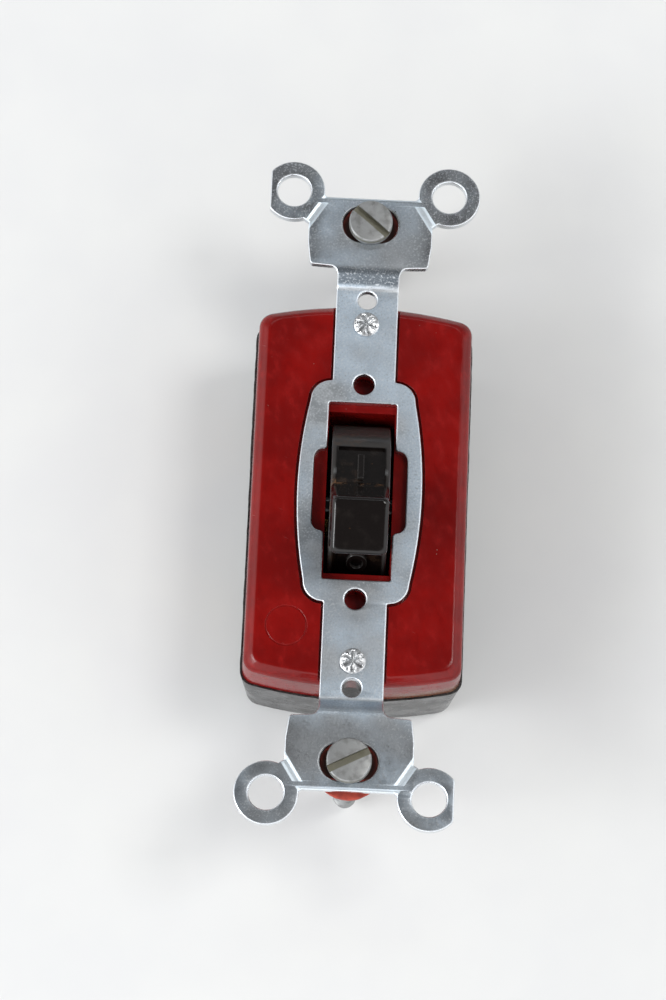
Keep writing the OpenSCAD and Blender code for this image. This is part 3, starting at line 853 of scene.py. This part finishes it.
rivet_steel = sheet_metal("rivet_steel", RIVET_STEEL, RIVET_STEEL_DARK, 0.2, 0.42, (1, 1, 1))
for name, end, turn in (("rivet_top", 1, 30), ("rivet_bottom", -1, 50)):
    shares = [1 - k / 18 for k in range(18)]
    crown = [(RIVET_HEAD * s, NECK_TOP + RIVET_HEAD_HIGH * (1 - 0.5 * s**4)) for s in shares]
    back_in, back_up = RIVET_BACK_EDGE
    head = lathe([
        (0, RIVET_BACK_LOW), (RIVET_BACK - back_in, RIVET_BACK_LOW), (RIVET_BACK, RIVET_BACK_LOW + back_up),
        (RIVET_BACK, RIVET_BACK_HIGH - 0.13), (RIVET_BACK - 0.12, RIVET_BACK_HIGH),
        (RIVET_SHANK, RIVET_BACK_HIGH + 0.02), (RIVET_SHANK, NECK_TOP + 0.01),
        (RIVET_HEAD - 0.06, NECK_TOP + 0.01), (RIVET_HEAD, NECK_TOP + 0.08),
        *crown, (0, NECK_TOP + RIVET_HEAD_HIGH)], 72)
    ragged = random.Random(end)
    for vert in head.verts:
        radius = math.hypot(vert.co.x, vert.co.y)
        if vert.co.z < NECK_TOP + 0.2 or radius > RIVET_HEAD * 0.97:
            continue
        angle = math.degrees(math.atan2(vert.co.y, vert.co.x)) - turn
        ray = (angle + 30) % 60 - 30
        aside = abs(radius * math.sin(math.radians(ray)))
        strength = min(1.0, max(0.0, (STAR_REACH - radius) / 0.3))
        burr = BURR_HIGH * strength * math.exp(-((aside - BURR_AT) / BURR_WIDE) ** 2)
        vert.co.z -= STAR_DEPTH * strength * max(0.0, 1 - aside / (STAR_HALF + 0.12 * radius))
        vert.co.z += burr + ragged.uniform(-PUNCH_ROUGH, PUNCH_ROUGH)
    bmesh.ops.translate(head, vec=(0, end * RIVET_Y, 0), verts=head.verts)
    make_piece(name + "_staked", head, rivet_steel, "housing", "rivet_steel", name, angle=24)


# Lever: brown-black phenolic, moulded in one with its barrel, trunnions and tail. Each wing of the
# barrel has a sunk field with a raised mark: a bar for on and a ring for off. Dust and brown grime
# have settled round the lever's root.
AXIS_Z = 15.8
THROW = 23.5
BARREL_RADIUS = 12.3
BARREL_WIDTH = 8.8
WING_ANGLE = 95
FIELD_MIDDLE = 38
FIELD = (7.2, 6.6)
FIELD_FLOOR = 11.32
LEVER_TOP = 23.3
TRUNNION = (2.0, 6.6)
TAIL = (6.4, 5.8, 6.0)
SPRING_BORE = 1.78
BORE_REACH = (-8, 10)
MARK_PROUD = 0.55
MARK_ROOT = 0.2
BAR = (0.5, 2.1)
RING = (1.8, 1.05)
RING_SQUEEZE = 0.86
# The lever's sections as (distance from its axis, half width, half length, corner radius).
LEVER_SECTIONS = (
    (10.3, 4.30, 4.95, 0.7), (11.6, 4.30, 4.90, 0.7), (12.35, 4.30, 4.80, 0.7), (12.8, 4.28, 4.66, 0.7),
    (13.5, 4.26, 4.58, 0.7), (16.0, 4.22, 4.46, 0.75), (19.0, 4.18, 4.32, 0.8), (22.0, 4.14, 4.24, 0.85))
LEVER_END = (4.12, 4.2, 0.9)
END_ROUND = 0.75
END_DOME = 0.03
PHENOLIC_BROWN = (0.0065, 0.0048, 0.0044, 1)
PHENOLIC_BROWN_WORN = (0.018, 0.014, 0.012, 1)
PHENOLIC_BROWN_RUBBED = (0.05, 0.046, 0.044, 1)
GRIME = (0.12, 0.055, 0.02, 1)
LINT = (0.36, 0.30, 0.24, 1)

brown_phenolic, tree, shader, place = new_finish("brown_phenolic", specular=0.36)
clouds = mottle(tree, place, 2.2, 5)
grit = mottle(tree, place, 0.12, 2)
wisps = mottle(tree, place, 0.05, 1, (1, 22, 22), 40)
dirt = both(tree, marked(tree, "grime_and_shade"), spread(tree, clouds, 0.50, 0.66))
colour = tint(tree, spread(tree, clouds, 0.5, 0.8, 0, 0.6), PHENOLIC_BROWN, PHENOLIC_BROWN_WORN)
colour = tint(tree, specks(tree, place, 0.8, 0.06, 0.3), colour, GRIME)
colour = tint(tree, spread(tree, wisps, 0.80, 0.85, 0, 0.5), colour, LINT)
colour = tint(tree, spread(tree, marked(tree, "rolled"), 0.1, 0.7, 0, 0.7), colour, PHENOLIC_BROWN_RUBBED)
colour = tint(tree, dirt, colour, GRIME)
rough = both(tree, spread(tree, clouds, 0.35, 0.7, 0.08, 0.16), both(tree, dirt, 0.5), "ADD")
paint(tree, shader, colour, rough)
relief(tree, shader, (clouds, 0.03), (grit, 0.004))


def rounded_box(half_x, half_y, corner):
    """Outline of a rectangle with round corners, anticlockwise."""
    return rounded([(x, y, corner) for x, y in rectangle(half_x, half_y)], 6)


def merge(*shapes):
    """Several shapes in one, left to overlap."""
    whole = bmesh.new()
    for shape in shapes:
        part = bpy.data.meshes.new("part")
        shape.to_mesh(part)
        shape.free()
        whole.from_mesh(part)
        bpy.data.meshes.remove(part)
    return whole


def turned(shape, matrix):
    """The shape itself, moved or turned by a matrix."""
    shape.transform(matrix)
    return shape


# The barrel is a disc with its lower part cut off, stood on edge.
disc = arc(0, 0, BARREL_RADIUS, 90 - WING_ANGLE, 90 + WING_ANGLE, 76)
barrel = plate([(disc, (0.35, 0.35), (0.35, 0.35))], -BARREL_WIDTH / 2, BARREL_WIDTH / 2)
stand = Matrix(((0, 0, 1, 0), (1, 0, 0, 0), (0, 1, 0, 0), (0, 0, 0, 1)))
barrel = turned(barrel, stand)
bore = prism(circle(0, 0, SPRING_BORE, 32), *BORE_REACH)
field_cutters = []
marks = []
for side in (-1, 1):
    lean = Matrix.Rotation(math.radians(-side * FIELD_MIDDLE), 4, "X")
    cutter = prism(rounded_box(FIELD[0] / 2, FIELD[1] / 2, 0.35), FIELD_FLOOR, 16)
    field_cutters.append(turned(cutter, lean))
    if side < 0:
        outlines = [(rounded_box(*BAR, 0.2), (0, 0), (0.2, 0.2))]
    else:
        outer, inner = [[(x * RING_SQUEEZE, y) for x, y in circle(0, 0, radius)] for radius in RING]
        outlines = [(outer, (0, 0), (0.16, 0.16)), (hole(inner), (0, 0), (0.12, 0.16))]
    mark = plate(outlines, FIELD_FLOOR - MARK_ROOT, FIELD_FLOOR + MARK_PROUD)
    marks.append(turned(mark, lean))
barrel = carve(barrel, bore.copy(), *field_cutters)

rings = []
for z, half_x, half_y, corner in LEVER_SECTIONS:
    rings.append([(x, y, z) for x, y in rounded_box(half_x, half_y, corner)])
for k in range(1, 7):
    bend = math.radians(15 * k)
    pull = END_ROUND * (1 - math.cos(bend))
    z = LEVER_TOP - END_DOME - END_ROUND * (1 - math.sin(bend))
    end_face = rounded_box(LEVER_END[0] - pull, LEVER_END[1] - pull, LEVER_END[2] - pull * 0.3)
    rings.append([(x, y, z) for x, y in end_face])
for shrink in (0.9, 0.1):
    z = LEVER_TOP - END_DOME * shrink
    rings.append([(x * shrink, y * shrink, z) for x, y in end_face])
stick = loft(rings)
tail = carve(prism(rounded_box(TAIL[0] / 2, TAIL[1] / 2, 0.4), -TAIL[2], 2), bore)
pin_radius, pin_end = TRUNNION
pin = lathe([
    (0, -pin_end), (pin_radius - 0.2, -pin_end), (pin_radius, 0.2 - pin_end), (pin_radius, -3.2), (0, -3.2)])
right_pin = turned(pin.copy(), Matrix.Rotation(math.radians(90), 4, "Y"))
left_pin = turned(pin, Matrix.Rotation(math.radians(-90), 4, "Y"))
lever = merge(barrel, stick, tail, right_pin, left_pin, *marks)
grime_and_shade = lever.verts.layers.float.new("grime_and_shade")
for vert in lever.verts:
    radius = math.hypot(vert.co.y, vert.co.z)
    near_root = math.exp(-((radius - 12.7) / 0.7) ** 2) if abs(vert.co.y) < 5.2 else 0.0
    side_dirt = 0.35 * math.exp(-((vert.co.x - 4.3) / 0.5) ** 2) if 12.2 < radius < 17 else 0.0
    vert[grime_and_shade] = min(1.0, near_root + side_dirt)
at_on = Matrix.Translation((0, 0, AXIS_Z)) @ Matrix.Rotation(math.radians(-THROW), 4, "X")
lever = turned(lever, at_on)
make_piece("toggle_lever", lever, brown_phenolic, "lever", "brown_phenolic", "toggle", angle=32)


# Screws: slotted 6-32 steel box screws, dull zinc, with cut threads, and shorter brass terminal
# screws with binding heads. The box screws hang in red fibre washers punched from sheet,
# which grip them and keep them from falling out.
SCREW_ZINC = (0.38, 0.385, 0.385, 1)
SCREW_ZINC_DARK = (0.235, 0.235, 0.23, 1)
SLOT_YELLOW = (0.20, 0.185, 0.12, 1)
SCREW_BRASS = (0.64, 0.44, 0.16, 1)
SCREW_BRASS_DARK = (0.33, 0.19, 0.07, 1)
FIBRE = (0.42, 0.055, 0.03, 1)
FIBRE_DARK = (0.26, 0.03, 0.02, 1)
FIBRE_SHADE = (0.045, 0.014, 0.008, 1)
PITCH = 0.794
SLOT_WIDE = 1.1
SLOT_DEEP = 0.9
SLOT_REACH = 6
THREAD_DEEP = 0.6
WASHER_RADIUS = 5.1
WASHER_LOW = 23.4
WASHER_THICK = 0.8
WASHER_BORE = 1.8
WASHER_RAGGED = 0.03
BOX_HEAD_Z = 26.55
# Heads as (radius, height, edge rounding, crown), shanks as (radius, top, tip, length of the point).
BOX_HEAD = (3.3, 1.7, 0.4, 0.12)
BOX_NECK = ((0, 0.1), (1.55, 0.1), (1.6, -2.4), (1.3, -2.7), (0, -2.7))
BOX_SHANK = (1.75, -2.5, -25.4, 0.8)
TERMINAL_Y = 14.5
TERMINAL_Z = 9.0
TERMINAL_HEAD_X = 13.05
TERMINAL_HEAD = (3.5, 2.2, 0.5, 0.15)
TERMINAL_SHANK = (2.05, 0.1, -6.05, 0.6)


def threaded(radius, top, tip, point, pitch, steps=28):
    """A screw's threaded shank about Z, from z top down to z tip, pointed at its end."""
    shape = bmesh.new()
    core = radius - THREAD_DEEP * pitch
    profile = (core, core, core + 0.25 * pitch, radius - 0.03, radius, radius - 0.03, core + 0.25 * pitch)
    rows = math.ceil((top - tip) / pitch + 2) * len(profile)
    grid = []
    for row in range(rows):
        ring = []
        for step in range(steps):
            z = tip - pitch + (row / len(profile) + step / steps) * pitch
            reach = profile[row % len(profile)]
            if z <= tip or z >= top:
                reach = 0
            z = min(top, max(tip, z))
            if reach:
                reach = min(reach, radius - point + (z - tip), radius)
            angle = 2 * math.pi * step / steps
            ring.append(shape.verts.new((reach * math.cos(angle), reach * math.sin(angle), z)))
        grid.append(ring)
    for row in range(rows - 1):
        for step in range(steps):
            if step < steps - 1:
                ahead, ahead_up = grid[row][step + 1], grid[row + 1][step + 1]
            elif row + len(profile) + 1 < rows:
                ahead, ahead_up = grid[row + len(profile)][0], grid[row + len(profile) + 1][0]
            else:
                continue
            shape.faces.new((grid[row][step], ahead, ahead_up, grid[row + 1][step]))
    bmesh.ops.remove_doubles(shape, verts=shape.verts, dist=0.002)
    bmesh.ops.dissolve_degenerate(shape, edges=shape.edges, dist=0.0005)
    loose = [v for v in shape.verts if not v.link_faces]
    bmesh.ops.delete(shape, geom=loose, context="VERTS")
    bmesh.ops.holes_fill(shape, edges=[e for e in shape.edges if e.is_boundary], sides=0)
    bmesh.ops.recalc_face_normals(shape, faces=shape.faces)
    return shape


def slotted_head(radius, high, edge, dome, slot_turn):
    """A round screw head standing on z 0, with its driver slot."""
    bends = [math.radians(a) for a in (0, 30, 60, 90)]
    rim = [(radius - edge * (1 - math.cos(b)), high - dome - edge * (1 - math.sin(b))) for b in bends]
    crown = [((radius - edge) * s, high - dome * s * s) for s in (0.75, 0.5, 0.25)]
    head = lathe([(0, 0), (radius - 0.12, 0), (radius, 0.12)] + rim + crown + [(0, high)], 64)
    cutter = prism(rectangle(SLOT_REACH, SLOT_WIDE / 2), high - SLOT_DEEP, high + 2)
    return carve(head, turned(cutter, Matrix.Rotation(math.radians(slot_turn), 4, "Z")))


def screw_finish(name, clean, dark, floor_colour, head_z, depth, axis):
    """Screw finish: fine grain, dull blotches, and a coloured floor at depth in the head's slot."""
    material, tree, shader, place = new_finish(name, metallic=0.85)
    patches = mottle(tree, place, 1.4, 5)
    fine = mottle(tree, place, 0.1, 3)
    height = axes(tree, place)[axis]
    below = fade(tree, height, head_z, head_z - depth)
    in_head = fade(tree, height, head_z - 1.6 * depth, head_z - 1.4 * depth)
    colour = tint(tree, spread(tree, patches, 0.4, 0.7), clean, dark)
    colour = tint(tree, spread(tree, fine, 0.5, 0.8, 0, 0.4), colour, dark)
    colour = tint(tree, both(tree, both(tree, below, in_head), 0.75), colour, floor_colour)
    paint(tree, shader, colour, spread(tree, patches, 0.3, 0.7, 0.42, 0.58))
    relief(tree, shader, (patches, 0.012), (fine, 0.008))
    return material


screw_zinc = screw_finish("screw_zinc", SCREW_ZINC, SCREW_ZINC_DARK, SLOT_YELLOW, BOX_HEAD_Z + 1.5, 0.5, 2)
red_fibre, tree, shader, place = new_finish("red_fibre", roughness=0.75)
strands = mottle(tree, place, 0.12, 3, (1, 6, 1), 30)
patches = mottle(tree, place, 1.5, 4)
colour = tint(tree, spread(tree, patches, 0.4, 0.7), FIBRE, FIBRE_DARK)
colour = tint(tree, spread(tree, strands, 0.5, 0.75, 0, 0.6), colour, FIBRE_DARK)
# Painted shade: the washer darkens towards its middle, under the screw's head.
colour = tint(tree, spread(tree, marked(tree, "grime_and_shade"), 0.02, 0.35), colour, FIBRE_SHADE)
paint(tree, shader, colour)
relief(tree, shader, (strands, 0.03), (patches, 0.03))
for name, end, slot_turn in (("top", 1, 27), ("bottom", -1, -40)):
    shank = threaded(*BOX_SHANK, PITCH)
    screw = merge(slotted_head(*BOX_HEAD, slot_turn), lathe(BOX_NECK), shank)
    screw = turned(screw, Matrix.Translation((0, end * BOX_HOLE_Y, BOX_HEAD_Z)))
    make_piece("box_screw_" + name, screw, screw_zinc, "box_screw_" + name, "screw_steel",
               "mounting_screw_" + name)
    washer = plate([
        (circle(0, end * BOX_HOLE_Y, WASHER_RADIUS, 72), (0.1, 0.1), (0.14, 0.1)),
        (hole(circle(0, end * BOX_HOLE_Y, WASHER_BORE)), (0.05, 0.05), (0.1, 0.1))],
        WASHER_LOW, WASHER_LOW + WASHER_THICK)
    ragged = random.Random(20 + end)
    # A share that grows towards the washer's middle, for its painted shade.
    grime_and_shade = washer.verts.layers.float.new("grime_and_shade")
    for vert in washer.verts:
        radius = math.hypot(vert.co.x, vert.co.y - end * BOX_HOLE_Y)
        vert[grime_and_shade] = 1 - radius / WASHER_RADIUS
        if radius > WASHER_RADIUS - 0.3:
            shift = [ragged.uniform(-WASHER_RAGGED, WASHER_RAGGED) for axis in (0, 1)]
            vert.co += Vector((*shift, 0))
    make_piece("fibre_washer_" + name + "_sheet", washer, red_fibre, "washer_" + name, "red_fibre",
               "fibre_washer_" + name, angle=40)

terminal_head_top = TERMINAL_HEAD_X + TERMINAL_HEAD[1]
screw_brass = screw_finish(
    "screw_brass", SCREW_BRASS, SCREW_BRASS_DARK, SCREW_BRASS_DARK, terminal_head_top, 0.6, 0)
lying = Matrix.Rotation(math.radians(90), 4, "Y")
for name, end in (("line", 1), ("load", -1)):
    screw = merge(slotted_head(*TERMINAL_HEAD, 90), threaded(*TERMINAL_SHANK, PITCH))
    screw = turned(screw, Matrix.Translation((TERMINAL_HEAD_X, end * TERMINAL_Y, TERMINAL_Z)) @ lying)
    make_piece("wire_screw_" + name, screw, screw_brass, "wire_screw_" + name, "screw_brass",
               "terminal_screw_" + name)


# Table: a plain pale sheet that the switch lies on, not part of it.
TABLE_WHITE = (0.80, 0.80, 0.79, 1)
TABLE_SHADE = (0.77, 0.77, 0.77, 1)
TABLE_GAP = 0.2
table_mesh = bpy.data.meshes.new("table")
table_mesh.from_pydata([(-3, -3, 0), (3, -3, 0), (3, 3, 0), (-3, 3, 0)], [], [(0, 1, 2, 3)])
table = put_in_scene("table", table_mesh)
table.location.z = -TABLE_GAP * MM
table_finish, tree, shader, place = new_finish("table_sheet", roughness=0.6, specular=0.2)
weave = mottle(tree, place, 30, 3)
paint(tree, shader, tint(tree, spread(tree, weave, 0.3, 0.7), TABLE_WHITE, TABLE_SHADE))
table_mesh.materials.append(table_finish)

# Camera: a long lens above the ON end, looking down at the switch.
CAMERA_AT = (0.009477, 0.149614, 0.507201)
CAMERA_TURN = (16.99891, -1.38429, -177.64055)
CAMERA_LENS = 122.4
camera_data = bpy.data.cameras.new("camera")
camera_data.sensor_width = 36
camera_data.lens = CAMERA_LENS
camera_data.clip_start = 0.01
camera = put_in_scene("camera", camera_data)
camera.location = CAMERA_AT
camera.rotation_euler = [math.radians(a) for a in CAMERA_TURN]
bpy.context.scene.camera = camera

# Light: a pale room that is dim overhead and towards the far end, a window on the +X side, a small
# lamp high on the other side, and a strip beyond the far end for the steel to mirror.
ROOM_COLOUR = (0.97, 0.985, 1, 1)
ROOM_OVERHEAD = 0.12
ROOM_ROUND = 1.8
ROOM_FAR_END = 0.22
ROOM_DARK_SIDE = 0.85
LAMPS = (
    ("key", (-0.50, -0.10, 0.95), (0, 0, 0), (0.32, 0.32), 2.8, (1, 0.985, 0.96)),
    ("strip", (0.0, -0.72, 1.05), (0, 0, 0.02), (0.8, 0.15), 1.0, (0.93, 0.97, 1)),
    ("window", (0.70, 0.32, 0.50), (0, 0, 0.02), (0.5, 0.22), 4.0, (0.97, 0.985, 1)))
for name, spot, aim, size, power, colour in LAMPS:
    lamp_data = bpy.data.lights.new(name, "AREA")
    lamp_data.shape = "RECTANGLE"
    lamp_data.size = size[0]
    lamp_data.size_y = size[1]
    lamp_data.energy = power
    lamp_data.color = colour
    lamp = put_in_scene(name, lamp_data)
    lamp.location = spot
    lamp.rotation_euler = (Vector(aim) - Vector(spot)).to_track_quat("-Z", "Y").to_euler()

world = bpy.data.worlds.new("room")
world.use_nodes = True
tree = world.node_tree
background = tree.nodes["Background"]
background.inputs["Color"].default_value = ROOM_COLOUR
x, y, z = axes(tree, tree.nodes.new("ShaderNodeTexCoord").outputs["Generated"])
height = spread(tree, z, 0.83, 0.60, ROOM_OVERHEAD, ROOM_ROUND)
side = spread(tree, x, -0.9, 0.3, ROOM_DARK_SIDE, 1.0)
length = spread(tree, y, -0.62, -0.22, ROOM_FAR_END, 1.0)
tree.links.new(both(tree, both(tree, height, side), length), background.inputs["Strength"])
bpy.context.scene.world = world
bpy.context.scene.view_settings.view_transform = "Standard"
